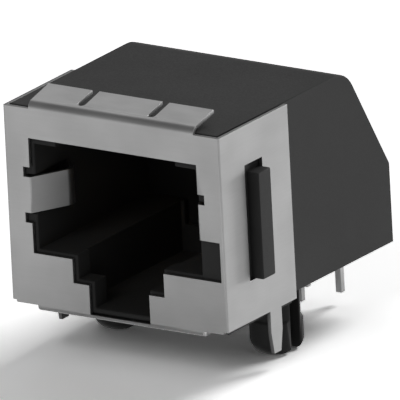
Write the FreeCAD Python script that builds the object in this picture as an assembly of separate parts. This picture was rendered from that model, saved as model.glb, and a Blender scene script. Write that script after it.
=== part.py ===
import FreeCAD, Part
import math
import os

# Eight-way side-entry board jack with a folded shield. Millimetres.
# Origin: halfway between the two board pegs, on the board's face.
# +X to the right seen from the plug side, +Y away from the plug, +Z up.
# "Depth" is measured back from the outer face of the shield's front plate.

V = FreeCAD.Vector

# Overall
FRONT_TO_PEGS = 8.53
BACK_MARGIN = 1.27

# Shield: sheet, plates and folds
SHEET = 0.25
SHIELD_WIDTH = 16.12
SHIELD_DEPTH = 7.70
SIDE_PLATE_BOTTOM = 0.57
FRONT_PLATE_BOTTOM = 0.42
CORNER_RADIUS = 0.12
CORNER_RELIEF = 0.33

# Shield: fingers along the top
FOLD_WIDTH = 12.32
FOLD_RADIUS = 0.50
FINGER_ANGLE = 13.0
FINGER_REACH = 2.40
FINGER_SLOT = 0.53
MIDDLE_FINGER = 4.70
FINGER_SLOT_START = 0.55

# Shield: flange under the housing
FLANGE_WIDTH = 12.30
FLANGE_REACH = 2.60

# Shield: opening in the front plate
OPENING_WIDTH = 12.54
OPENING_TOP = 11.32
HEAD_HEIGHT = 1.95
OPENING_LEDGE = 3.81
STEP_WIDTH = 6.80
STEP_BOTTOM = 2.25
LATCH_WIDTH = 4.49
LATCH_BOTTOM = 0.32

# Shield: ground springs, their relief notches and the window on the right
SPRING_BOTTOM = 6.40
SPRING_TOP = 8.75
SPRING_ROOT = 0.09
SPRING_FOLD = 0.15
SPRING_ANGLE = 28.0
SPRING_RUN = 3.12
SPRING_CREST = 0.77
SPRING_TAIL = 1.35
SPRING_TAIL_ANGLE = 38.0
NOTCH_DEPTH = 0.49
NOTCH_HEIGHT = 0.64
WINDOW_WIDTH = 1.48

# Shield: slots for the housing's ribs, and solder tabs
SLOT_START = 2.71
SLOT_LENGTH = 1.96
SLOT_BOTTOM = 3.17
SLOT_HEIGHT = 7.56
TAB_CENTRE = 5.36
TAB_WIDTH = 1.25
TAB_TIP_WIDTH = 0.75
TAB_SHOULDER = -0.85
TAB_TIP = -2.24

# Housing: outline
PLATE_GAP = 0.05
SEAT_GAP = 0.02
TOP_PROUD = 0.05
SLOPE_RISE = 7.30
BACK_SLOPE = 30.26
BACK_FILLET = 2.30
REAR_BOTTOM = 0.87
REAR_START = 7.60
EDGE_CHAMFER = 0.04

# Housing: plug cavity and latch pocket
OPENING_MARGIN = 0.08
LEAD_IN = 0.10
LIP = 1.40
CEILING_DROP = 0.46
CAVITY_TO_ROW = 2.49
KEY_FLOOR = 0.70
LATCH_ROOM = 0.25
LATCH_WALL = 0.45
CENTRE_WIDTH = 8.40
SPRING_ROOM = 0.10
SPRING_POCKET = 0.60
SPRING_POCKET_DEPTH = 3.90

# Housing: ribs through the shield's slots
RIB_LENGTH = 1.37
RIB_ROOM = 0.605
RIB_PROUD = 0.61

# Housing: board pegs
PEG_SPACING = 11.68
PEG_RADIUS = 1.55
PEG_FLATS = 2.82
PEG_SLOT = 0.98
PEG_SLOT_BEVEL = 0.20
BARB_RADIUS = 1.70
BARB_TOP = -1.05
BARB_BOTTOM = -2.50
PEG_TIP_RADIUS = 1.20
PEG_TIP = -3.27
TIP_BULGE = 0.09

# Contact insert
TONGUE_WIDTH = 8.84
TONGUE_FRONT = 3.00
TONGUE_SET = 0.13
TONGUE_ROOM = 0.05
TOP_WALL = 1.12
INSERT_WIDTH = 12.56
INSERT_GAP = 0.03
INSERT_BACK_SET = 0.35
INSERT_BOTTOM = 0.30
FOOT_RADIUS = 0.65
FOOT_SPACING = 10.90
FOOT_INSET = 1.80
COMB_SLOT = 0.63
COMB_DEPTH = 1.20
COMB_ROOM = 0.72
RAIL_HEIGHT = 1.00
RAIL_BOTTOM = 7.40
RAIL_PROUD = 0.40
RAIL_LENGTH = 2.90

# Contacts
CONTACTS = 8
WIRE_WIDTH = 0.43
WIRE_THICKNESS = 0.41
WIRE_GAP = 0.04
PLUG_PITCH = 1.02
TAIL_PITCH = 1.27
ROW_NEAR = 6.66
ROW_SPACING = 2.54
TAIL_TIP = -2.50
WIRE_BEND = 0.80
JOG_BEND = 0.80
JOG_LEAD = 1.62
FRONT_BEND = 0.75
ARM_ANGLE = 21.0
ARM_INTO_COMB = 0.50
SLOPE_INSET = 0.90

# Sizes that follow from the ones above
FRONT = -FRONT_TO_PEGS
ROW_FAR = ROW_NEAR + ROW_SPACING
BACK = ROW_FAR + BACK_MARGIN
HALF_SHIELD = SHIELD_WIDTH / 2
SHIELD_TOP = OPENING_TOP + HEAD_HEIGHT
FLANGE_RADIUS = FRONT_PLATE_BOTTOM
HALF_HOUSING = HALF_SHIELD - SHEET - PLATE_GAP
HOUSING_FRONT = FRONT + SHEET + PLATE_GAP
HOUSING_BOTTOM = SHEET + SEAT_GAP
HOUSING_TOP = SHIELD_TOP + TOP_PROUD
BACK_EDGE = HOUSING_TOP - SLOPE_RISE
RIB_HEIGHT = SLOT_HEIGHT - RIB_ROOM
LIP_INSET = OPENING_MARGIN + LEAD_IN
CAVITY_WIDTH = OPENING_WIDTH - 2 * LIP_INSET
CATCH_WIDTH = STEP_WIDTH - 2 * LIP_INSET
KEY_WIDTH = LATCH_WIDTH - 2 * LIP_INSET
CAVITY_FLOOR = OPENING_LEDGE + LIP_INSET
CATCH_FLOOR = STEP_BOTTOM + LIP_INSET
CAVITY_CEILING = OPENING_TOP - CEILING_DROP
CAVITY_BACK = ROW_NEAR - CAVITY_TO_ROW
RECESS_CEILING = HOUSING_TOP - TOP_WALL
TONGUE_TOP = RECESS_CEILING - TONGUE_ROOM
WIRE_TOP_RUN = TONGUE_TOP - WIRE_GAP - WIRE_THICKNESS / 2
TONGUE_UNDER = WIRE_TOP_RUN - FRONT_BEND - TONGUE_SET
POCKET_WIDTH = INSERT_WIDTH + 2 * INSERT_GAP
TAILS_WIDTH = (CONTACTS - 1) * TAIL_PITCH + WIRE_WIDTH
OVER = 5.0


def box(x, y, z):
    """Block between the two values of each pair."""
    block = Part.makeBox(x[1] - x[0], y[1] - y[0], z[1] - z[0])
    block.translate(V(x[0], y[0], z[0]))
    return block


def both_sides(shape):
    """The shape and its mirror image across the middle plane."""
    return [shape, shape.mirror(V(0, 0, 0), V(1, 0, 0))]


def rounded_edges(points, radii):
    """Edges of an open line through the points, with its corners rounded or, at 0, sharp."""
    edges = []
    start = points[0]
    for here, after, radius in zip(points[1:-1], points[2:], radii):
        arrive = (here - start).normalize()
        leave = (after - here).normalize()
        half_turn = arrive.getAngle(leave) / 2
        inward = (leave - arrive).normalize()
        reach = radius * math.tan(half_turn)
        first = here - arrive * reach
        middle = here + inward * (radius / math.cos(half_turn) - radius)
        last = here + leave * reach
        edges.append(Part.makeLine(start, first))
        if radius > 0:
            edges.append(Part.Arc(first, middle, last).toShape())
        start = last
    edges.append(Part.makeLine(start, points[-1]))
    return edges


def offset_points(points, distance, normal):
    """The line's points moved to the left of its run, seen against the normal."""
    runs = [(b - a).normalize() for a, b in zip(points, points[1:])]
    sides = [normal.cross(run) for run in runs]
    moved = [points[0] + sides[0] * distance]
    for here, before, after in zip(points[1:-1], sides, sides[1:]):
        moved.append(here + (before + after) * (distance / (1 + before.dot(after))))
    moved.append(points[-1] + sides[-1] * distance)
    return moved


def offset_radii(points, radii, distance, normal):
    """Corner radii that keep the moved line at one distance from the first, or 0."""
    moved = []
    for before, here, after, radius in zip(points, points[1:], points[2:], radii):
        turn = (here - before).cross(after - here).dot(normal)
        moved.append(max(0, radius - distance) if turn > 0 else radius + distance)
    return moved


def strip_face(points, radii, near, far, normal):
    """Face between the line moved left by one distance and by another."""
    borders = []
    ends = []
    for distance in (near, far):
        moved = offset_points(points, distance, normal)
        borders += rounded_edges(moved, offset_radii(points, radii, distance, normal))
        ends.append((moved[0], moved[-1]))
    caps = [Part.makeLine(a, b) for a, b in zip(*ends)]
    return Part.Face(Part.Wire(Part.__sortEdges__(borders + caps)))


def folded_strip(points, radii, normal, width):
    """Sheet whose outer face follows the line, as wide as the given vector."""
    return strip_face(points, radii, 0, SHEET, normal).extrude(width)


def side_profile(points, x_from, x_to):
    """Solid with the given depth-and-height outline between two X values."""
    corners = [V(x_from, y, z) for y, z in points]
    return Part.Face(Part.makePolygon(corners + corners[:1])).extrude(V(x_to - x_from, 0, 0))


def front_profile(points, y_from, y_to):
    """Solid with the given width-and-height outline between two Y values."""
    corners = [V(x, y_from, z) for x, z in points]
    return Part.Face(Part.makePolygon(corners + corners[:1])).extrude(V(0, y_to - y_from, 0))


def stepped_opening(widths, levels, ceiling):
    """Outline of the plug opening: each width reaches down to its level."""
    right = []
    above = ceiling
    for width, level in zip(widths, levels):
        right.append((width / 2, above))
        right.append((width / 2, level))
        above = level
    left = [(-x, z) for x, z in reversed(right)]
    return right + left


def slope_depth(height, inset=0.0):
    """Y of the sloped back at a height, moved in by the inset."""
    lean = math.radians(BACK_SLOPE)
    return BACK - (height - BACK_EDGE) * math.tan(lean) - inset / math.cos(lean)


def back_corner(inset):
    """Height at which the moved-in back wall meets the moved-in slope."""
    lean = math.radians(BACK_SLOPE)
    return BACK_EDGE - inset * math.tan(lean / 2)


# Shield

def shield_plates():
    """Front plate and the two side plates, folded at the front corners."""
    rear = FRONT + SHIELD_DEPTH
    points = [
        V(-HALF_SHIELD, rear, FRONT_PLATE_BOTTOM),
        V(-HALF_SHIELD, FRONT, FRONT_PLATE_BOTTOM),
        V(HALF_SHIELD, FRONT, FRONT_PLATE_BOTTOM),
        V(HALF_SHIELD, rear, FRONT_PLATE_BOTTOM),
    ]
    height = V(0, 0, SHIELD_TOP - FRONT_PLATE_BOTTOM)
    plates = folded_strip(points, [CORNER_RADIUS] * 2, V(0, 0, 1), height)
    raised = box(
        (HALF_SHIELD - CORNER_RELIEF, HALF_SHIELD + OVER),
        (FRONT - OVER, rear + OVER),
        (0, SIDE_PLATE_BOTTOM),
    )
    return plates.cut(both_sides(raised))


def shield_fingers():
    """Top fold, with slots that part it into three rising fingers."""
    rise = math.radians(FINGER_ANGLE)
    corner = SHIELD_TOP + FOLD_RADIUS * math.tan((math.pi / 2 - rise) / 2)
    left = -FOLD_WIDTH / 2
    points = [
        V(left, FRONT, OPENING_TOP + SHEET),
        V(left, FRONT, corner),
        V(left, FRONT + FINGER_REACH, corner + FINGER_REACH * math.tan(rise)),
    ]
    fold = folded_strip(points, [FOLD_RADIUS], V(-1, 0, 0), V(FOLD_WIDTH, 0, 0))
    slot_x = (MIDDLE_FINGER + FINGER_SLOT) / 2
    end = Part.makeCylinder(FINGER_SLOT / 2, OVER, V(slot_x, 0, SHIELD_TOP))
    end.translate(V(0, FRONT + FINGER_SLOT_START + FINGER_SLOT / 2, 0))
    run = box(
        (slot_x - FINGER_SLOT / 2, slot_x + FINGER_SLOT / 2),
        (FRONT + FINGER_SLOT_START + FINGER_SLOT / 2, FRONT + FINGER_REACH + OVER),
        (SHIELD_TOP, SHIELD_TOP + OVER),
    )
    return fold.cut(both_sides(end.fuse(run)))


def shield_flange():
    """Short flange folded under the housing, level with the board."""
    left = -FLANGE_WIDTH / 2
    points = [
        V(left, FRONT, FRONT_PLATE_BOTTOM + FLANGE_RADIUS),
        V(left, FRONT, 0),
        V(left, FRONT + FLANGE_REACH, 0),
    ]
    return folded_strip(points, [FLANGE_RADIUS], V(1, 0, 0), V(FLANGE_WIDTH, 0, 0))


def ground_spring():
    """Right-hand spring: folds in from the opening's edge to a rounded crest."""
    lean = math.radians(SPRING_ANGLE)
    back = math.radians(SPRING_TAIL_ANGLE)
    fold_turn = math.pi / 2 - lean
    root = OPENING_WIDTH / 2 + SPRING_ROOT
    corner = V(root - SPRING_FOLD * math.tan(fold_turn / 2), FRONT, SPRING_BOTTOM)
    crest = corner + V(-math.sin(lean), math.cos(lean), 0) * SPRING_RUN
    tail = crest + V(math.sin(back), math.cos(back), 0) * SPRING_TAIL
    anchor = V(OPENING_WIDTH / 2 + NOTCH_DEPTH, FRONT, SPRING_BOTTOM)
    height = V(0, 0, SPRING_TOP - SPRING_BOTTOM)
    radii = [SPRING_FOLD, SPRING_CREST]
    return folded_strip([anchor, corner, crest, tail], radii, V(0, 0, -1), height)


def spring_opening():
    """What is pierced round the ground springs: slits, notches and the window."""
    edge = OPENING_WIDTH / 2
    through = (FRONT - OVER, FRONT + SHEET + PLATE_GAP / 2)
    slit = box((0, edge + NOTCH_DEPTH), through, (SPRING_BOTTOM, SPRING_TOP))
    upper = box((0, edge + NOTCH_DEPTH), through, (SPRING_TOP, SPRING_TOP + NOTCH_HEIGHT))
    lower = box((-edge - NOTCH_DEPTH, 0), through, (SPRING_BOTTOM - NOTCH_HEIGHT, SPRING_BOTTOM))
    window = box((0, edge + WINDOW_WIDTH), through, (OPENING_LEDGE, SPRING_BOTTOM))
    return both_sides(slit) + both_sides(upper) + [lower, window]


def solder_tab():
    """Right-hand tab that goes down through the board."""
    centre = FRONT + TAB_CENTRE
    outline = [
        (centre - TAB_WIDTH / 2, SIDE_PLATE_BOTTOM + SHEET),
        (centre - TAB_WIDTH / 2, TAB_SHOULDER),
        (centre - TAB_TIP_WIDTH / 2, TAB_TIP),
        (centre + TAB_TIP_WIDTH / 2, TAB_TIP),
        (centre + TAB_WIDTH / 2, TAB_SHOULDER),
        (centre + TAB_WIDTH / 2, SIDE_PLATE_BOTTOM + SHEET),
    ]
    return side_profile(outline, HALF_SHIELD - SHEET, HALF_SHIELD)


def rib_slot():
    """Slot in the right-hand side plate."""
    start = FRONT + SLOT_START
    return box(
        (HALF_HOUSING, HALF_SHIELD + OVER),
        (start, start + SLOT_LENGTH),
        (SLOT_BOTTOM, SLOT_BOTTOM + SLOT_HEIGHT),
    )


def make_shield():
    """The whole shield as one folded and pierced sheet."""
    widths = [OPENING_WIDTH, STEP_WIDTH, LATCH_WIDTH]
    levels = [OPENING_LEDGE, STEP_BOTTOM, LATCH_BOTTOM]
    opening = stepped_opening(widths, levels, OPENING_TOP)
    plug_hole = front_profile(opening, FRONT - OVER, FRONT + SHEET + PLATE_GAP)
    sheet = shield_plates().fuse([shield_fingers(), shield_flange()])
    sheet = sheet.fuse(both_sides(solder_tab()))
    sheet = sheet.cut([plug_hole] + spring_opening() + both_sides(rib_slot()))
    return sheet.fuse(both_sides(ground_spring())).removeSplitter()


# Housing

def housing_block():
    """Outer form: level top, sloped back with a rounded top corner."""
    left = -HALF_HOUSING
    back_foot = V(left, BACK, HOUSING_BOTTOM)
    back_top = V(left, BACK, BACK_EDGE)
    slope_top = V(left, slope_depth(HOUSING_TOP), HOUSING_TOP)
    front_top = V(left, HOUSING_FRONT, HOUSING_TOP)
    front_foot = V(left, HOUSING_FRONT, HOUSING_BOTTOM)
    edges = rounded_edges([back_top, slope_top, front_top], [BACK_FILLET])
    edges.append(Part.makeLine(front_top, front_foot))
    edges.append(Part.makeLine(front_foot, back_foot))
    edges.append(Part.makeLine(back_foot, back_top))
    face = Part.Face(Part.Wire(Part.__sortEdges__(edges)))
    block = face.extrude(V(2 * HALF_HOUSING, 0, 0))
    return block.makeChamfer(EDGE_CHAMFER, [e for e in block.Edges if is_bevelled(e)])


def is_bevelled(edge):
    """True for the block's outline edges on its two sides and its top front edge."""
    bounds = edge.BoundBox
    outline = bounds.XMax - bounds.XMin < EDGE_CHAMFER
    front = bounds.YMax < HOUSING_FRONT + EDGE_CHAMFER
    return bounds.ZMax > HOUSING_BOTTOM + EDGE_CHAMFER and (outline or front)


def rear_underside():
    """Right-hand cut that lifts the rear side wall off the board."""
    return box(
        (CENTRE_WIDTH / 2, HALF_HOUSING + OVER),
        (FRONT + REAR_START, BACK + OVER),
        (-OVER, REAR_BOTTOM),
    )


def flange_relief():
    """Chamfer that keeps the housing off the inside of the flange's bend."""
    size = FLANGE_RADIUS - SHEET
    outline = [
        (HOUSING_FRONT - OVER, HOUSING_BOTTOM + size + OVER),
        (HOUSING_FRONT - OVER, HOUSING_BOTTOM - OVER),
        (HOUSING_FRONT + size + OVER, HOUSING_BOTTOM - OVER),
    ]
    return side_profile(outline, -HALF_HOUSING - OVER, HALF_HOUSING + OVER)


def plug_cavity():
    """Plug hole, latch pocket behind its lip, and room for the tongue and the jogs."""
    widths = [CAVITY_WIDTH, CATCH_WIDTH, KEY_WIDTH]
    levels = [CAVITY_FLOOR, CATCH_FLOOR, KEY_FLOOR]
    outline = stepped_opening(widths, levels, CAVITY_CEILING)
    mouth = front_profile(outline, HOUSING_FRONT - OVER, CAVITY_BACK)
    pocket = box(
        (-CATCH_WIDTH / 2 - LATCH_ROOM, CATCH_WIDTH / 2 + LATCH_ROOM),
        (HOUSING_FRONT + LIP, CAVITY_BACK - LATCH_WALL),
        (KEY_FLOOR, CAVITY_FLOOR + LATCH_ROOM),
    )
    recess = box(
        (-TONGUE_WIDTH / 2 - TONGUE_ROOM, TONGUE_WIDTH / 2 + TONGUE_ROOM),
        (HOUSING_FRONT - OVER, CAVITY_BACK + OVER),
        (CAVITY_CEILING - TONGUE_ROOM, RECESS_CEILING),
    )
    jog_room = box(
        (-TAILS_WIDTH / 2 - TONGUE_ROOM, TAILS_WIDTH / 2 + TONGUE_ROOM),
        (CAVITY_BACK - JOG_LEAD, CAVITY_BACK + OVER),
        (CAVITY_CEILING - TONGUE_ROOM, RECESS_CEILING),
    )
    return [mouth, pocket, recess, jog_room]


def lead_in():
    """Bevel round the front edge of the plug hole."""
    widths = [CAVITY_WIDTH, CATCH_WIDTH, KEY_WIDTH]
    levels = [CAVITY_FLOOR, CATCH_FLOOR, KEY_FLOOR]
    inner = stepped_opening(widths, levels, CAVITY_CEILING)
    wide = [width + 2 * LEAD_IN for width in widths]
    low = [level - LEAD_IN for level in levels]
    outer = stepped_opening(wide, low, CAVITY_CEILING + LEAD_IN)
    rings = []
    for outline, y in ((outer, HOUSING_FRONT), (inner, HOUSING_FRONT + LEAD_IN)):
        corners = [V(x, y, z) for x, z in outline]
        rings.append(Part.makePolygon(corners + corners[:1]))
    return Part.makeLoft(rings, True, True)


def spring_pocket():
    """Right-hand pocket in the cavity's wall for the ground spring to flex into."""
    side = CAVITY_WIDTH / 2
    return box(
        (side - SPRING_POCKET, side + SPRING_POCKET),
        (HOUSING_FRONT - OVER, FRONT + SPRING_POCKET_DEPTH),
        (SPRING_BOTTOM - SPRING_ROOM, SPRING_TOP + SPRING_ROOM),
    )


def insert_pocket():
    """Open back of the housing, with a guide groove in the right-hand wall."""
    half = POCKET_WIDTH / 2
    room = box((-half, half), (CAVITY_BACK, BACK + OVER), (-OVER, RECESS_CEILING))
    groove = box(
        (half - RAIL_PROUD, half + RAIL_PROUD),
        (CAVITY_BACK, BACK + OVER),
        (RAIL_BOTTOM - INSERT_GAP, RAIL_BOTTOM + RAIL_HEIGHT + INSERT_GAP),
    )
    return [room] + both_sides(groove)


def snap_rib():
    """Right-hand rib that stands out through the shield's slot."""
    rear = FRONT + SLOT_START + SLOT_LENGTH - SEAT_GAP
    rib = box(
        (HALF_HOUSING - PLATE_GAP, HALF_SHIELD + RIB_PROUD),
        (rear - RIB_LENGTH, rear),
        (SLOT_BOTTOM + SEAT_GAP, SLOT_BOTTOM + SEAT_GAP + RIB_HEIGHT),
    )
    outer = [e for e in rib.Edges if e.BoundBox.XMin > HALF_SHIELD]
    return rib.makeChamfer(EDGE_CHAMFER, outer)


def board_peg():
    """Right-hand split peg with a barbed tip and a flat on each side."""
    barb = BARB_RADIUS - PEG_RADIUS
    top = REAR_BOTTOM + SHEET
    side_end = V(BARB_RADIUS, 0, BARB_BOTTOM)
    tip_start = V(PEG_TIP_RADIUS, 0, PEG_TIP)
    points = [
        tip_start,
        V(0, 0, PEG_TIP),
        V(0, 0, top),
        V(PEG_RADIUS, 0, top),
        V(PEG_RADIUS, 0, BARB_TOP),
        V(BARB_RADIUS, 0, BARB_TOP - barb),
        side_end,
    ]
    edges = [Part.makeLine(a, b) for a, b in zip(points, points[1:])]
    outward = (tip_start - side_end).cross(V(0, 1, 0)).normalize()
    bulge = (side_end + tip_start) / 2 + outward * TIP_BULGE
    edges.append(Part.Arc(side_end, bulge, tip_start).toShape())
    face = Part.Face(Part.Wire(Part.__sortEdges__(edges)))
    peg = face.revolve(V(0, 0, 0), V(0, 0, 1), 360)
    flats = box((-PEG_FLATS / 2, PEG_FLATS / 2), (-OVER, OVER), (PEG_TIP - OVER, top + OVER))
    half_slot = PEG_SLOT / 2
    slot_end = PEG_TIP + PEG_SLOT_BEVEL
    outline = [
        (-half_slot, REAR_BOTTOM),
        (-half_slot, slot_end),
        (-half_slot - PEG_SLOT_BEVEL - OVER, PEG_TIP - OVER),
        (half_slot + PEG_SLOT_BEVEL + OVER, PEG_TIP - OVER),
        (half_slot, slot_end),
        (half_slot, REAR_BOTTOM),
    ]
    peg = peg.common(flats).cut(side_profile(outline, -OVER, OVER))
    peg.translate(V(PEG_SPACING / 2, 0, 0))
    return peg


def make_housing():
    """The black moulding that everything else is fitted to."""
    block = housing_block()
    cuts = both_sides(rear_underside()) + [flange_relief(), lead_in()]
    cuts += plug_cavity() + both_sides(spring_pocket()) + insert_pocket()
    block = block.cut(cuts)
    return block.fuse(both_sides(snap_rib()) + both_sides(board_peg())).removeSplitter()


# Contacts

def is_far(number):
    """True for the contacts whose tails stand in the row further back."""
    return number % 2 == 1


def plug_x(number):
    """X of a contact's spring arm."""
    return (number - (CONTACTS - 1) / 2) * PLUG_PITCH


def tail_x(number):
    """X of a contact's solder tail."""
    return (number - (CONTACTS - 1) / 2) * TAIL_PITCH


def slope_turn():
    """Y at which the far contacts turn from their top run to their slope."""
    return slope_depth(WIRE_TOP_RUN, INSERT_BACK_SET + SLOPE_INSET)


def tail_route(number):
    """Corners and bends of a contact seen from the side, from its jog to its tip."""
    x = tail_x(number)
    if not is_far(number):
        corners = [V(x, ROW_NEAR, WIRE_TOP_RUN), V(x, ROW_NEAR, TAIL_TIP)]
        return corners, [WIRE_BEND]
    lean = math.tan(math.radians(BACK_SLOPE))
    top = slope_turn()
    foot = WIRE_TOP_RUN - (ROW_FAR - top) / lean
    corners = [V(x, top, WIRE_TOP_RUN), V(x, ROW_FAR, foot), V(x, ROW_FAR, TAIL_TIP)]
    return corners, [WIRE_BEND, WIRE_BEND]


def front_corner(number):
    """Point in front of the jack where the top run and the spring arm would meet."""
    turn = math.radians(180 - ARM_ANGLE)
    centre = FRONT + TONGUE_FRONT + FRONT_BEND
    return V(plug_x(number), centre - FRONT_BEND * math.tan(turn / 2), WIRE_TOP_RUN)


def arm_end(number):
    """Point at the middle of a spring arm's end, inside the comb."""
    corner = front_corner(number)
    y = CAVITY_BACK + ARM_INTO_COMB
    return V(corner.x, y, corner.z - (y - corner.y) * math.tan(math.radians(ARM_ANGLE)))


def jog_corners(number):
    """The two points where a contact shifts from plug pitch to tail pitch."""
    return [
        V(plug_x(number), CAVITY_BACK - JOG_LEAD, WIRE_TOP_RUN),
        V(tail_x(number), slope_turn() - WIRE_BEND, WIRE_TOP_RUN),
    ]


def make_contact(number):
    """One formed wire: spring arm, front bend, top run with its jog, and tail."""
    end = arm_end(number)
    tail, tail_bends = tail_route(number)
    points = [end, front_corner(number)] + jog_corners(number) + tail
    radii = [FRONT_BEND, JOG_BEND, JOG_BEND] + tail_bends
    route = Part.Wire(rounded_edges(points, radii))
    along = (points[1] - points[0]).normalize()
    up = along.cross(V(1, 0, 0))
    half_width = V(1, 0, 0) * (WIRE_WIDTH / 2)
    half_thick = up * (WIRE_THICKNESS / 2)
    ring = [
        end - half_width - half_thick,
        end + half_width - half_thick,
        end + half_width + half_thick,
        end - half_width + half_thick,
    ]
    section = Part.makePolygon(ring + ring[:1])
    return route.makePipeShell([section], True, False)


# Contact insert

def insert_body():
    """Rear block with a sloped back, its tongue, guide rails and feet."""
    front = CAVITY_BACK + INSERT_GAP
    outline = [
        (front, INSERT_BOTTOM),
        (BACK - INSERT_BACK_SET, INSERT_BOTTOM),
        (BACK - INSERT_BACK_SET, back_corner(INSERT_BACK_SET)),
        (slope_depth(TONGUE_TOP, INSERT_BACK_SET), TONGUE_TOP),
        (front, TONGUE_TOP),
    ]
    block = side_profile(outline, -INSERT_WIDTH / 2, INSERT_WIDTH / 2)
    tongue = box(
        (-TONGUE_WIDTH / 2, TONGUE_WIDTH / 2),
        (FRONT + TONGUE_FRONT, front + OVER / 2),
        (TONGUE_UNDER, TONGUE_TOP),
    )
    rail = box(
        (INSERT_WIDTH / 2 - RAIL_PROUD, INSERT_WIDTH / 2 + RAIL_PROUD - INSERT_GAP),
        (front, front + RAIL_LENGTH),
        (RAIL_BOTTOM, RAIL_BOTTOM + RAIL_HEIGHT),
    )
    foot = Part.makeCylinder(FOOT_RADIUS, INSERT_BOTTOM + SHEET, V(FOOT_SPACING / 2, 0, 0))
    foot.translate(V(0, BACK - FOOT_INSET, 0))
    return block.fuse([tongue] + both_sides(rail) + both_sides(foot))


def wire_channel(number):
    """Groove for one contact: round the tongue's nose, along its jog, down the back."""
    inset = WIRE_THICKNESS / 2 + WIRE_GAP
    inward = V(-1, 0, 0)
    nose = FRONT + TONGUE_FRONT
    low = TONGUE_UNDER - OVER
    tail, tail_bends = tail_route(number)
    corners = [V(0, nose, low), V(0, nose, WIRE_TOP_RUN)] + [V(0, p.y, p.z) for p in tail]
    radii = [FRONT_BEND] + tail_bends
    floor = offset_points(corners, inset, inward)
    edges = rounded_edges(floor, offset_radii(corners, radii, inset, inward))
    around = [
        floor[-1],
        V(0, BACK + OVER, TAIL_TIP),
        V(0, BACK + OVER, HOUSING_TOP),
        V(0, FRONT, HOUSING_TOP),
        V(0, FRONT, low),
        floor[0],
    ]
    edges += [Part.makeLine(a, b) for a, b in zip(around, around[1:])]
    side = Part.Face(Part.Wire(Part.__sortEdges__(edges)))
    side.translate(V(-HALF_HOUSING, 0, 0))
    side = side.extrude(V(2 * HALF_HOUSING, 0, 0))
    x_plug = plug_x(number)
    x_tail = tail_x(number)
    lane = [V(x_plug, FRONT, 0)] + jog_corners(number) + [V(x_tail, BACK + OVER, 0)]
    lane = [V(p.x, p.y, -OVER) for p in lane]
    half_lane = WIRE_WIDTH / 2 + WIRE_GAP
    plan = strip_face(lane, [JOG_BEND] * 2, half_lane, -half_lane, V(0, 0, 1))
    return side.common(plan.extrude(V(0, 0, HOUSING_TOP + 2 * OVER)))


def comb_slot(number):
    """Slot in the block's front wall that guides the end of a spring arm."""
    front = CAVITY_BACK + INSERT_GAP
    end = arm_end(number)
    return box(
        (end.x - COMB_SLOT / 2, end.x + COMB_SLOT / 2),
        (front - OVER, front + COMB_DEPTH),
        (end.z - COMB_ROOM, TONGUE_UNDER),
    )


def make_insert():
    """The moulded carrier that holds the eight contacts."""
    body = insert_body()
    cuts = [wire_channel(number) for number in range(CONTACTS)]
    cuts += [comb_slot(number) for number in range(CONTACTS)]
    return body.cut(cuts).removeSplitter()


def main():
    """Makes every piece and writes one file for each."""
    os.makedirs("parts", exist_ok=True)
    pieces = {
        "housing": make_housing(),
        "shield": make_shield(),
        "contact_insert": make_insert(),
    }
    for number in range(CONTACTS):
        pieces["contact_%d" % (number + 1)] = make_contact(number)
    for name, shape in pieces.items():
        solid = shape.Solids[0] if len(shape.Solids) == 1 else shape
        print(name, len(shape.Solids), shape.isValid(), round(solid.Volume, 3))
        solid.exportStep("parts/%s.step" % name)


main()
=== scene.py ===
import logging
import math
from dataclasses import dataclass, field
from enum import Enum

import bmesh
import bpy
from mathutils import Matrix, Vector


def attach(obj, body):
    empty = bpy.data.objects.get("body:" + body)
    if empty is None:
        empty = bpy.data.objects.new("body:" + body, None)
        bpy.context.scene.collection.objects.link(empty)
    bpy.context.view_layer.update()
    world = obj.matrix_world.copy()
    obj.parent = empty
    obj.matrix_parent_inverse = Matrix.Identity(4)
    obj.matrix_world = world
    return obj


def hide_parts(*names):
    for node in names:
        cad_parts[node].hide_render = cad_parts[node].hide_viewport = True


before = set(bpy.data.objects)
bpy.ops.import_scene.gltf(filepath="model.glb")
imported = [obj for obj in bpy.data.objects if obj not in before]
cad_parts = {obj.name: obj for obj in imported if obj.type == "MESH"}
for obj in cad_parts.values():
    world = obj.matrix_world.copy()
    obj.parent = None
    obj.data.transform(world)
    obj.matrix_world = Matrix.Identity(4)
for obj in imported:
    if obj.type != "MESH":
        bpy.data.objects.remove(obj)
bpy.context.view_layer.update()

# Looks of an eight-way board jack. Lengths are in millimetres, and become metres in finish_mesh.
# The origin lies midway between the board pegs on the board's face: +X right, +Y back, +Z up.

BODY = "root"

MM = 0.001
TO_MM = Vector((1, 1, 1)) / MM
TO_METRES = Vector((1, 1, 1)) * MM

# Where most of a noise's values lie: the plain noise, and the stretched one of the lines.
NOISE_SPAN = (0.3, 0.7)
LINES_SPAN = (0.25, 0.75)
WHOLE = (0.0, 1.0)

Colour = tuple[float, float, float]
Span = tuple[float, float]

log = logging.getLogger("board_jack")


class Grade(Enum):
    """How finely an edge is rounded: the bevel's number of segments."""

    SOFT = 2
    ROUND = 3


class Zone(Enum):
    """Material index of each surface zone on a dressed solid."""

    MAIN = 0
    SECOND = 1


def grey(level: float) -> Colour:
    """Returns the linear grey of a level."""
    return (level, level, level)


def aim(azimuth: float, elevation: float) -> Matrix:
    """Turns what looks straight down so that it looks at the origin from the given side.

    Args:
        azimuth: Degrees to the right of the front.
        elevation: Degrees above the board.

    Returns:
        The turn, as a matrix of four rows.
    """
    return (Matrix.Rotation(math.radians(azimuth), 4, "Z")
            @ Matrix.Rotation(math.radians(90 - elevation), 4, "X"))


def show(thing: bpy.types.Object) -> bpy.types.Object:
    """Puts an object into the scene, and returns it."""
    bpy.context.scene.collection.objects.link(thing)
    return thing


# Node trees

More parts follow.
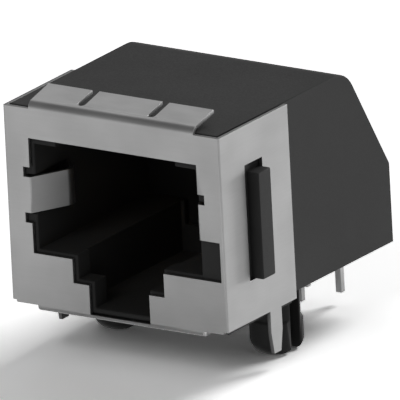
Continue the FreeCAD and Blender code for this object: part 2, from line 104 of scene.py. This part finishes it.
class Tree:
    """Places and links the nodes of one node tree.

    Args:
        tree: The node tree to fill.
    """

    def __init__(self, tree: bpy.types.NodeTree) -> None:
        """Empties the tree and keeps it."""
        self.tree = tree
        self.tree.nodes.clear()

    def add(self, kind: str, **settings: object) -> bpy.types.Node:
        """Adds one node.

        Args:
            kind: The node's type name.
            settings: Properties to set on the node.

        Returns:
            The new node.
        """
        node = self.tree.nodes.new(kind)
        for name, value in settings.items():
            setattr(node, name, value)
        return node

    def link(self, source: bpy.types.NodeSocket, target: bpy.types.NodeSocket) -> None:
        """Links an output socket to an input socket."""
        self.tree.links.new(source, target)

    def remap(self, value: bpy.types.NodeSocket, source: Span, target: Span) -> bpy.types.NodeSocket:
        """Adds a clamped, smooth map of one range onto another.

        Args:
            value: The socket to map.
            source: The range it has.
            target: The range it gets.

        Returns:
            The socket of the mapped value.
        """
        node = self.add("ShaderNodeMapRange", interpolation_type="SMOOTHSTEP")
        for name, level in zip(("From Min", "From Max", "To Min", "To Max"), (*source, *target)):
            node.inputs[name].default_value = level
        self.link(value, node.inputs["Value"])
        return node.outputs["Result"]

    def math(self, kind: str, one: bpy.types.NodeSocket,
             other: bpy.types.NodeSocket) -> bpy.types.NodeSocket:
        """Adds a Math node.

        Args:
            kind: Its operation.
            one: The socket of its first value.
            other: The socket of its second value.

        Returns:
            The socket of its result.
        """
        node = self.add("ShaderNodeMath", operation=kind)
        self.link(one, node.inputs[0])
        self.link(other, node.inputs[1])
        return node.outputs["Value"]

    def blend(self, factor: bpy.types.NodeSocket, low: Colour, high: Colour) -> bpy.types.NodeSocket:
        """Adds a mix of two plain colours.

        Args:
            factor: The socket that mixes them.
            low: The colour at 0.
            high: The colour at 1.

        Returns:
            The socket of the mixed colour.
        """
        node = self.add("ShaderNodeMix", data_type="RGBA")
        ends = [socket for socket in node.inputs if socket.type == "RGBA"]
        ends[0].default_value = (*low, 1)
        ends[1].default_value = (*high, 1)
        self.link(factor, node.inputs["Factor"])
        return next(socket for socket in node.outputs if socket.type == "RGBA")


@dataclass(frozen=True)
class GroupSocket:
    """One socket on a node group.

    Attributes:
        name: Its name.
        kind: The type name of its socket.
        default: Its value where nothing is linked or set.
        output: True for an output.
    """

    name: str
    kind: str
    default: float | None = None
    output: bool = False


def new_group(name: str, sockets: list[GroupSocket]) -> tuple[Tree, bpy.types.Node, bpy.types.Node]:
    """Makes a shader node group with named sockets.

    Args:
        name: The group's name.
        sockets: Its inputs and outputs.

    Returns:
        The group's tree, its input node and its output node.
    """
    group = bpy.data.node_groups.new(name, "ShaderNodeTree")
    for item in sockets:
        socket = group.interface.new_socket(
            name=item.name, in_out="OUTPUT" if item.output else "INPUT", socket_type=item.kind)
        if item.default is not None:
            socket.default_value = item.default
    tree = Tree(group)
    return tree, tree.add("NodeGroupInput"), tree.add("NodeGroupOutput")


def surface_group() -> bpy.types.NodeTree:
    """Makes the group that gives any surface its grain and its soft unevenness.

    Returns:
        A group with Vector, Grain Scale and Mottle Scale in, and Grain and Mottle out, both 0 to 1.
    """
    name = "Surface Unevenness"
    if name in bpy.data.node_groups:
        return bpy.data.node_groups[name]
    tree, entry, end = new_group(name, [
        GroupSocket("Vector", "NodeSocketVector"),
        GroupSocket("Grain Scale", "NodeSocketFloat", 9000.0),
        GroupSocket("Mottle Scale", "NodeSocketFloat", 260.0),
        GroupSocket("Grain", "NodeSocketFloat", output=True),
        GroupSocket("Mottle", "NodeSocketFloat", output=True),
    ])
    for scale, detail, out in (("Grain Scale", 3.0, "Grain"), ("Mottle Scale", 2.0, "Mottle")):
        noise = tree.add("ShaderNodeTexNoise")
        noise.inputs["Detail"].default_value = detail
        tree.link(entry.outputs["Vector"], noise.inputs["Vector"])
        tree.link(entry.outputs[scale], noise.inputs["Scale"])
        tree.link(noise.outputs["Fac"], end.inputs[out])
    return tree.tree


def rolling_group() -> bpy.types.NodeTree:
    """Makes the group for the fine lines that rolling or drawing leaves on metal.

    Returns:
        A group with Vector, Stretch and Scale in, and Lines out, 0 to 1.
    """
    name = "Rolling Lines"
    if name in bpy.data.node_groups:
        return bpy.data.node_groups[name]
    tree, entry, end = new_group(name, [
        GroupSocket("Vector", "NodeSocketVector"),
        GroupSocket("Stretch", "NodeSocketVector"),
        GroupSocket("Scale", "NodeSocketFloat", 5000.0),
        GroupSocket("Lines", "NodeSocketFloat", output=True),
    ])
    stretched = tree.add("ShaderNodeVectorMath", operation="MULTIPLY")
    noise = tree.add("ShaderNodeTexNoise")
    noise.inputs["Detail"].default_value = 4.0
    noise.inputs["Roughness"].default_value = 0.6
    tree.link(entry.outputs["Vector"], stretched.inputs[0])
    tree.link(entry.outputs["Stretch"], stretched.inputs[1])
    tree.link(stretched.outputs["Vector"], noise.inputs["Vector"])
    tree.link(entry.outputs["Scale"], noise.inputs["Scale"])
    tree.link(noise.outputs["Fac"], end.inputs["Lines"])
    return tree.tree


# Finishes

class SurfaceBuilder:
    """A material under construction: coordinates, unevenness, bump and shader.

    Attributes:
        material: The material.
        tree: Its node tree.
        shader: Its shader's node.
        vector: The socket of the Object coordinates.
    """

    def __init__(self, name: str) -> None:
        """Makes the material with a shader and Object coordinates.

        Args:
            name: The material's name.
        """
        self.material = bpy.data.materials.new(name)
        self.material.use_nodes = True
        self.tree = Tree(self.material.node_tree)
        self.shader = self.tree.add("ShaderNodeBsdfPrincipled")
        end = self.tree.add("ShaderNodeOutputMaterial")
        self.tree.link(self.shader.outputs["BSDF"], end.inputs["Surface"])
        self.vector = self.tree.add("ShaderNodeTexCoord").outputs["Object"]

    def unevenness(self, grain: float,
                   mottle: float) -> tuple[bpy.types.NodeSocket, bpy.types.NodeSocket]:
        """Places the unevenness group.

        Args:
            grain: Scale of its fine grain.
            mottle: Scale of its soft mottle.

        Returns:
            The sockets of the grain and of the mottle.
        """
        node = self.tree.add("ShaderNodeGroup", node_tree=surface_group())
        node.inputs["Grain Scale"].default_value = grain
        node.inputs["Mottle Scale"].default_value = mottle
        self.tree.link(self.vector, node.inputs["Vector"])
        return node.outputs["Grain"], node.outputs["Mottle"]

    def rolling(self, stretch: Colour, scale: float) -> bpy.types.NodeSocket:
        """Places the group of rolling lines.

        Args:
            stretch: Share of the scale along each axis: small along the lines.
            scale: Scale of the lines.

        Returns:
            The socket of the lines.
        """
        node = self.tree.add("ShaderNodeGroup", node_tree=rolling_group())
        node.inputs["Stretch"].default_value = stretch
        node.inputs["Scale"].default_value = scale
        self.tree.link(self.vector, node.inputs["Vector"])
        return node.outputs["Lines"]

    def set(self, **values: float | Colour) -> None:
        """Sets the shader's own sockets, named with underscores for spaces."""
        for name, value in values.items():
            self.shader.inputs[name.replace("_", " ")].default_value = value

    def feed(self, name: str, socket: bpy.types.NodeSocket) -> None:
        """Links a socket to one of the shader's."""
        self.tree.link(socket, self.shader.inputs[name])

    def colour(self, mottle: bpy.types.NodeSocket, dark: Colour, light: Colour) -> None:
        """Feeds the base colour with two tones that the mottle mixes."""
        tone = self.tree.remap(mottle, NOISE_SPAN, WHOLE)
        self.feed("Base Color", self.tree.blend(tone, dark, light))

    def roughness(self, pattern: bpy.types.NodeSocket, span: Span, gloss: Span) -> None:
        """Feeds the roughness with a pattern, whose span becomes the range of the gloss."""
        self.feed("Roughness", self.tree.remap(pattern, span, gloss))

    def bump(self, height: bpy.types.NodeSocket, depth: float, strength: float,
             below: bpy.types.NodeSocket | None = None) -> bpy.types.NodeSocket:
        """Adds a bump.

        Args:
            height: The socket of its height, 0 to 1.
            depth: The height of 1, in metres.
            strength: The bump's strength.
            below: The normal of a coarser bump that it lies on.

        Returns:
            The socket of its normal.
        """
        node = self.tree.add("ShaderNodeBump")
        node.inputs["Strength"].default_value = strength
        node.inputs["Distance"].default_value = depth
        self.tree.link(height, node.inputs["Height"])
        if below is not None:
            self.tree.link(below, node.inputs["Normal"])
        return node.outputs["Normal"]


@dataclass(frozen=True)
class SheetFinish:
    """Rolled and plated spring sheet: even grey, with faint lines along the strip.

    Attributes:
        name: The material's name.
        dark: Base colour where the mottle is low.
        light: Base colour where the mottle is high.
        gloss: Least and greatest roughness.
        stretch: Share of the lines' scale along each axis.
        line_scale: Scale of the lines.
        line_depth: Height of the lines, in metres.
        line_strength: Strength of their bump.
        grain_scale: Scale of the grain.
        grain_depth: Height of the grain, in metres.
        grain_strength: Strength of its bump.
        mottle_scale: Scale of the mottle.
    """

    name: str = "plated_sheet"
    dark: Colour = grey(0.24)
    light: Colour = grey(0.27)
    gloss: Span = (0.36, 0.44)
    stretch: Colour = (0.06, 0.06, 1.0)
    line_scale: float = 9000.0
    line_depth: float = 1.2e-6
    line_strength: float = 0.35
    grain_scale: float = 16000.0
    grain_depth: float = 1.0e-6
    grain_strength: float = 0.3
    mottle_scale: float = 240.0

    def build(self) -> bpy.types.Material:
        """Builds the material.

        Returns:
            The material.
        """
        surface = SurfaceBuilder(self.name)
        grain, mottle = surface.unevenness(self.grain_scale, self.mottle_scale)
        lines = surface.rolling(self.stretch, self.line_scale)
        surface.colour(mottle, self.dark, self.light)
        surface.roughness(lines, LINES_SPAN, self.gloss)
        coarse = surface.bump(lines, self.line_depth, self.line_strength)
        surface.feed("Normal", surface.bump(grain, self.grain_depth, self.grain_strength, coarse))
        surface.set(Metallic=1.0)
        return surface.material


@dataclass(frozen=True)
class ShearedFinish:
    """The cut edge of the sheet: torn to a coarser grain, and darker, partly as duller torn metal and
    partly as painted shade.

    Attributes:
        name: The material's name.
        dark: Base colour where the mottle is low.
        light: Base colour where the mottle is high.
        gloss: Least and greatest roughness.
        grain_scale: Scale of the grain.
        grain_depth: Height of the grain, in metres.
        grain_strength: Strength of its bump.
        mottle_scale: Scale of the mottle.
    """

    name: str = "sheared_edge"
    # Both tones are kept dark partly for the duller torn metal and partly as painted shade, which
    # stands in for the dark that these edges take from the light around them.
    dark: Colour = grey(0.10)
    light: Colour = grey(0.14)
    gloss: Span = (0.48, 0.66)
    grain_scale: float = 14000.0
    grain_depth: float = 3.0e-6
    grain_strength: float = 0.5
    mottle_scale: float = 900.0

    def build(self) -> bpy.types.Material:
        """Builds the material.

        Returns:
            The material.
        """
        surface = SurfaceBuilder(self.name)
        grain, mottle = surface.unevenness(self.grain_scale, self.mottle_scale)
        surface.colour(mottle, self.dark, self.light)
        surface.roughness(grain, NOISE_SPAN, self.gloss)
        surface.feed("Normal", surface.bump(grain, self.grain_depth, self.grain_strength))
        surface.set(Metallic=1.0)
        return surface.material


@dataclass(frozen=True)
class PlasticFinish:
    """Glass-filled black moulding with the fine texture of an eroded mould.

    Attributes:
        name: The material's name.
        dark: Base colour where the mottle is low.
        light: Base colour where the mottle is high.
        gloss: Least and greatest roughness.
        specular: Strength of its plain reflection.
        grain_scale: Scale of the mould's texture.
        grain_depth: Height of the mould's texture, in metres.
        grain_strength: Strength of its bump.
        flow_depth: Height of the soft unevenness that the melt's flow leaves, in metres.
        flow_strength: Strength of its bump.
        mottle_scale: Scale of the mottle and of that unevenness.
    """

    name: str
    dark: Colour
    light: Colour
    gloss: Span = (0.56, 0.68)
    specular: float = 0.06
    grain_scale: float = 11000.0
    grain_depth: float = 4.0e-6
    grain_strength: float = 0.35
    flow_depth: float = 8.0e-6
    flow_strength: float = 0.25
    mottle_scale: float = 180.0

    def build(self) -> bpy.types.Material:
        """Builds the material.

        Returns:
            The material.
        """
        surface = SurfaceBuilder(self.name)
        grain, mottle = surface.unevenness(self.grain_scale, self.mottle_scale)
        surface.colour(mottle, self.dark, self.light)
        surface.roughness(grain, NOISE_SPAN, self.gloss)
        flow = surface.bump(mottle, self.flow_depth, self.flow_strength)
        surface.feed("Normal", surface.bump(grain, self.grain_depth, self.grain_strength, flow))
        surface.set(Specular_IOR_Level=self.specular)
        return surface.material


@dataclass(frozen=True)
class WireFinish:
    """Drawn and plated wire, with fine lines along the draw.

    Attributes:
        name: The material's name.
        dark: Base colour where the mottle is low.
        light: Base colour where the mottle is high.
        gloss: Least and greatest roughness.
        stretch: Share of the lines' scale along each axis.
        line_scale: Scale of the lines.
        line_depth: Height of the lines, in metres.
        line_strength: Strength of their bump.
        grain_scale: Scale of the grain.
        mottle_scale: Scale of the mottle.
    """

    name: str
    dark: Colour
    light: Colour
    gloss: Span
    stretch: Colour = (1.0, 0.08, 0.08)
    line_scale: float = 12000.0
    line_depth: float = 0.5e-6
    line_strength: float = 0.2
    grain_scale: float = 15000.0
    mottle_scale: float = 700.0

    def build(self) -> bpy.types.Material:
        """Builds the material.

        Returns:
            The material.
        """
        surface = SurfaceBuilder(self.name)
        mottle = surface.unevenness(self.grain_scale, self.mottle_scale)[1]
        lines = surface.rolling(self.stretch, self.line_scale)
        surface.colour(mottle, self.dark, self.light)
        surface.roughness(lines, LINES_SPAN, self.gloss)
        surface.feed("Normal", surface.bump(lines, self.line_depth, self.line_strength))
        surface.set(Metallic=1.0)
        return surface.material


# Meshes

@dataclass
class DressedSolid:
    """A mesh laid over one CAD solid: the same form, with its sharp edges rounded.

    Attributes:
        node: The CAD node.
        rounding: Width of the rounded edges, in millimetres.
        grade: How finely they are rounded.
        merge: Corners closer than this are one, in millimetres.
        flat: Faces that turn by less than this are one, in degrees.
        sharp: Edges that turn by more than this are rounded, in degrees.
        blank: The mesh under work.
    """

    node: str
    rounding: float
    grade: Grade = Grade.SOFT
    merge: float = 0.0005
    flat: float = 0.5
    sharp: float = 40.0
    blank: bmesh.types.BMesh = field(init=False, repr=False)

    def take_blank(self) -> bmesh.types.BMesh:
        """Copies the node's triangles in millimetres and merges them into whole faces.

        Returns:
            The blank.
        """
        self.blank = bmesh.new()
        self.blank.from_mesh(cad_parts[self.node].data)
        bmesh.ops.scale(self.blank, vec=TO_MM, verts=self.blank.verts)
        bmesh.ops.remove_doubles(self.blank, verts=self.blank.verts, dist=self.merge)
        bmesh.ops.dissolve_limit(
            self.blank, angle_limit=math.radians(self.flat), use_dissolve_boundaries=False,
            verts=self.blank.verts, edges=self.blank.edges, delimit={"NORMAL"})
        bmesh.ops.connect_verts_concave(self.blank, faces=self.blank.faces)
        return self.blank

    def is_sharp(self, edge: bmesh.types.BMEdge) -> bool:
        """Returns True for an edge that turns by more than the sharp angle."""
        return len(edge.link_faces) == 2 and edge.calc_face_angle(0) > math.radians(self.sharp)

    def round_edges(self) -> None:
        """Bevels every sharp edge of the blank, and keeps it inside the solid's own box."""
        spans = [(min(values), max(values)) for values in zip(*(vert.co for vert in self.blank.verts))]
        edges = [edge for edge in self.blank.edges if self.is_sharp(edge)]
        bmesh.ops.bevel(
            self.blank, geom=edges, offset=self.rounding, offset_type="OFFSET",
            segments=self.grade.value, profile=0.5, affect="EDGES", clamp_overlap=False,
            material=-1, loop_slide=True)
        for vert in self.blank.verts:
            vert.co = Vector([min(max(value, low), high) for value, (low, high) in zip(vert.co, spans)])

    def finish_mesh(self, name: str, materials: list[bpy.types.Material]) -> bpy.types.Object:
        """Turns the blank into an object that stands for the node.

        Args:
            name: The object's name.
            materials: Its materials, in the order of Zone.

        Returns:
            The object, riding on the body.
        """
        bmesh.ops.scale(self.blank, vec=TO_METRES, verts=self.blank.verts)
        for face in self.blank.faces:
            face.smooth = True
        mesh = bpy.data.meshes.new(name)
        self.blank.to_mesh(mesh)
        self.blank.free()
        mesh.set_sharp_from_angle(angle=math.radians(self.sharp))
        for material in materials:
            mesh.materials.append(material)
        piece = show(bpy.data.objects.new(name, mesh))
        weighted = piece.modifiers.new("Even shading", "WEIGHTED_NORMAL")
        weighted.keep_sharp = True
        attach(piece, BODY)
        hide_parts(self.node)
        log.info("%s: %d faces", name, len(mesh.polygons))
        return piece


@dataclass
class SheetShield:
    """The folded and pierced sheet-metal shield.

    Attributes:
        thickness: The sheet's thickness, in millimetres.
        rounding: Rounding of its sheared edges, in millimetres.
        finish: Finish of the rolled surface.
        edge_finish: Finish of the sheared edges.
    """

    thickness: float = 0.25
    rounding: float = 0.015
    finish: SheetFinish = SheetFinish()
    edge_finish: ShearedFinish = ShearedFinish()

    def is_cut(self, face: bmesh.types.BMFace, solid: DressedSolid) -> bool:
        """Tells a sheared edge from the sheet's own surface.

        Args:
            face: A face of the merged blank.
            solid: The dressed solid it belongs to.

        Returns:
            True if the face is as narrow as the sheet is thick, between two sharp edges.
        """
        width = 2 * face.calc_area() / sum(edge.calc_length() for edge in face.edges)
        longest = max(face.edges, key=lambda edge: edge.calc_length())
        return width < self.thickness and solid.is_sharp(longest)

    def build(self) -> bpy.types.Object:
        """Builds the shield.

        Returns:
            The shield's object.
        """
        solid = DressedSolid("shield", self.rounding)
        for face in solid.take_blank().faces:
            zone = Zone.SECOND if self.is_cut(face, solid) else Zone.MAIN
            face.material_index = zone.value
        solid.round_edges()
        materials = [self.finish.build(), self.edge_finish.build()]
        return solid.finish_mesh("sheet_shield", materials)


@dataclass
class Moulding:
    """A piece moulded in one plastic.

    Attributes:
        node: The CAD node that it stands for.
        name: The object's name.
        slot: The record's material slot; not used.
        rounding: Rounding of its edges, in millimetres.
        finish: Finish of the whole piece.
    """

    node: str
    name: str
    slot: str
    rounding: float
    finish: PlasticFinish

    def build(self) -> bpy.types.Object:
        """Builds the moulding.

        Returns:
            The moulding's object.
        """
        solid = DressedSolid(self.node, self.rounding)
        solid.take_blank()
        solid.round_edges()
        return solid.finish_mesh(self.name, [self.finish.build()])


@dataclass
class MouldedHousing(Moulding):
    """The black moulding with its ribs and split pegs."""

    node: str = "housing"
    name: str = "moulded_housing"
    slot: str = "housing_plastic"
    rounding: float = 0.05
    finish: PlasticFinish = PlasticFinish("housing_moulding", grey(0.032), grey(0.038))


@dataclass
class ContactCarrier(Moulding):
    """The moulded insert that holds the contacts."""

    node: str = "contact_insert"
    name: str = "contact_carrier"
    slot: str = "insert_plastic"
    rounding: float = 0.025
    finish: PlasticFinish = PlasticFinish(
        "insert_moulding", grey(0.022), grey(0.027), gloss=(0.42, 0.54))


@dataclass
class ContactSet:
    """The eight formed wires: gold where the plug touches, tinned from the jog to the tip.

    Attributes:
        count: Number of contacts.
        rounding: Rounding of the drawn wire's corners, in millimetres.
        gold_ends: Depth at which the gold plating ends, in millimetres behind the pegs.
        gold: Finish of the spring arms.
        tin: Finish from the jog to the tip.
    """

    count: int = 8
    rounding: float = 0.03
    gold_ends: float = 1.6
    gold: WireFinish = WireFinish(
        "gold_flash", (0.62, 0.40, 0.13), (0.72, 0.48, 0.17), gloss=(0.22, 0.34))
    tin: WireFinish = WireFinish("matt_tin", grey(0.22), grey(0.28), gloss=(0.34, 0.46))

    def build_one(self, number: int, materials: list[bpy.types.Material]) -> bpy.types.Object:
        """Builds one contact.

        Args:
            number: Its number, from 1.
            materials: Tin and gold.

        Returns:
            The contact's object.
        """
        solid = DressedSolid("contact_%d" % number, self.rounding, Grade.ROUND)
        for face in solid.take_blank().faces:
            forward = face.calc_center_median().y < self.gold_ends
            face.material_index = Zone.SECOND.value if forward else Zone.MAIN.value
        solid.round_edges()
        return solid.finish_mesh("contact_wire_%d" % number, materials)

    def build(self) -> list[bpy.types.Object]:
        """Builds all the contacts, and returns their objects."""
        materials = [self.tin.build(), self.gold.build()]
        return [self.build_one(number, materials) for number in range(1, self.count + 1)]


# Studio

@dataclass(frozen=True)
class PhotoCamera:
    """The photograph's parallel view.

    Attributes:
        target: The point it looks at.
        azimuth: Degrees to the right of the front.
        elevation: Degrees above the board.
        roll: Degrees by which it leans.
        width: How much it takes in.
        distance: How far it stands from the target.
        nearest: Where its view begins.
        farthest: Where its view ends.
    """

    target: tuple[float, float, float] = (0.663, -0.141, 5.747)
    azimuth: float = 34.60
    elevation: float = 18.06
    roll: float = -2.913
    width: float = 24.83
    distance: float = 120.0
    nearest: float = 1.0
    farthest: float = 1000.0

    def build(self) -> bpy.types.Object:
        """Builds the camera and makes it the scene's.

        Returns:
            The camera's object.
        """
        data = bpy.data.cameras.new("photo_camera")
        data.type = "ORTHO"
        data.ortho_scale = self.width * MM
        data.clip_start = self.nearest * MM
        data.clip_end = self.farthest * MM
        camera = show(bpy.data.objects.new("photo_camera", data))
        turn = (aim(self.azimuth, self.elevation)
                @ Matrix.Rotation(math.radians(self.roll), 4, "Z"))
        back = turn.to_3x3() @ Vector((0, 0, 1))
        place = (Vector(self.target) + back * self.distance) * MM
        camera.matrix_world = Matrix.Translation(place) @ turn
        bpy.context.scene.camera = camera
        return camera


@dataclass(frozen=True)
class SoftLamp:
    """A patch of light far off.

    Attributes:
        name: The lamp's name.
        azimuth: Degrees to the right of the front.
        elevation: Degrees above the board.
        strength: Its strength.
        angle: Degrees that it spans.
    """

    name: str
    azimuth: float
    elevation: float
    strength: float
    angle: float = 28.0

    def build(self) -> bpy.types.Object:
        """Builds the lamp.

        Returns:
            The lamp's object.
        """
        data = bpy.data.lights.new(self.name, "SUN")
        data.energy = self.strength
        data.angle = math.radians(self.angle)
        lamp = show(bpy.data.objects.new(self.name, data))
        lamp.matrix_world = aim(self.azimuth, self.elevation)
        return lamp


@dataclass(frozen=True)
class Studio:
    """A white floor that keeps the shadow, a dim sky and patches of light.

    Attributes:
        floor_height: Height of the floor, where the pegs' tips end.
        floor_size: Width and depth of the floor.
        floor_seen: Its level to the camera and to what mirrors it.
        floor_lit: Its level as it lights the object from below.
        sky_level: Level of the sky as it lights the object.
        dim_side: Direction of the sky's dimmer side, above the front left, to what mirrors it.
        dim_turn: How far a direction leans to that side where the dimming begins and ends.
        dim_level: Level of the sky there.
        lamps: The patches of light.
    """

    floor_height: float = -3.27
    floor_size: float = 900.0
    floor_seen: float = 2.20
    floor_lit: float = 0.80
    sky_level: float = 0.14
    dim_side: tuple[float, float, float] = (-0.30, -0.51, 0.81)
    dim_turn: Span = (0.35, 0.9)
    dim_level: float = 0.15
    lamps: tuple[SoftLamp, ...] = (
        SoftLamp("key", 166.0, -3.0, 2.3, 10.0),
        SoftLamp("back", 168.0, 38.0, 1.5),
        SoftLamp("left", -135.0, 48.0, 0.08),
        SoftLamp("front", 0.0, 38.0, 0.38),
        SoftLamp("low_front", -12.0, -15.0, 0.42),
        SoftLamp("low_right", 78.0, -8.0, 0.16),
        SoftLamp("low_back", 158.0, -8.0, 0.1, 12.0),
        SoftLamp("under", -120.0, -50.0, 0.6),
    )

    def floor_material(self) -> bpy.types.Material:
        """Builds the floor's material, whose white comes from its colour.

        Returns:
            The material.
        """
        material = bpy.data.materials.new("studio_floor")
        material.use_nodes = True
        tree = Tree(material.node_tree)
        diffuse = tree.add("ShaderNodeBsdfDiffuse")
        end = tree.add("ShaderNodeOutputMaterial")
        path = tree.add("ShaderNodeLightPath").outputs
        seen = tree.math("MAXIMUM", path["Is Camera Ray"], path["Is Glossy Ray"])
        seen = tree.math("MAXIMUM", seen, path["Is Transmission Ray"])
        colour = tree.blend(seen, grey(self.floor_lit), grey(self.floor_seen))
        tree.link(colour, diffuse.inputs["Color"])
        tree.link(diffuse.outputs["BSDF"], end.inputs["Surface"])
        return material

    def build_floor(self) -> bpy.types.Object:
        """Builds the floor.

        Returns:
            The floor's object.
        """
        shape = bmesh.new()
        bmesh.ops.create_grid(shape, x_segments=2, y_segments=2, size=self.floor_size / 2)
        bmesh.ops.translate(shape, vec=Vector((0, 0, self.floor_height)), verts=shape.verts)
        bmesh.ops.scale(shape, vec=TO_METRES, verts=shape.verts)
        mesh = bpy.data.meshes.new("studio_floor")
        shape.to_mesh(mesh)
        shape.free()
        mesh.materials.append(self.floor_material())
        floor = show(bpy.data.objects.new("studio_floor", mesh))
        # The lamps below the board shine through the floor. What the object casts on it stays.
        floor.visible_shadow = False
        return floor

    def build_sky(self) -> bpy.types.World:
        """Builds the world: white to the camera, and dimmer on one side to what mirrors it.

        Returns:
            The world.
        """
        world = bpy.data.worlds.new("studio_sky")
        world.use_nodes = True
        tree = Tree(world.node_tree)
        path = tree.add("ShaderNodeLightPath").outputs
        view = tree.add("ShaderNodeTexCoord").outputs["Generated"]
        lean = tree.add("ShaderNodeVectorMath", operation="DOT_PRODUCT")
        lean.inputs[1].default_value = self.dim_side
        tree.link(view, lean.inputs[0])
        mirrored = tree.remap(lean.outputs["Value"], self.dim_turn, (1.0, self.dim_level))
        shown = tree.math("MAXIMUM", path["Is Glossy Ray"], path["Is Transmission Ray"])
        shown = tree.math("MAXIMUM", tree.math("MULTIPLY", shown, mirrored), path["Is Camera Ray"])
        background = tree.add("ShaderNodeBackground")
        end = tree.add("ShaderNodeOutputWorld")
        tree.link(tree.blend(shown, grey(self.sky_level), grey(1.0)), background.inputs["Color"])
        tree.link(background.outputs["Background"], end.inputs["Surface"])
        bpy.context.scene.world = world
        return world

    def build(self) -> None:
        """Builds the floor, the sky and the lamps."""
        self.build_floor()
        self.build_sky()
        for lamp in self.lamps:
            lamp.build()
        bpy.context.scene.view_settings.view_transform = "Standard"


def main() -> None:
    """Builds the camera, the studio and each sub-assembly."""
    logging.basicConfig(level=logging.INFO, format="%(name)s: %(message)s")
    PhotoCamera().build()
    Studio().build()
    MouldedHousing().build()
    ContactCarrier().build()
    ContactSet().build()
    SheetShield().build()


if __name__ == "__main__":
    main()
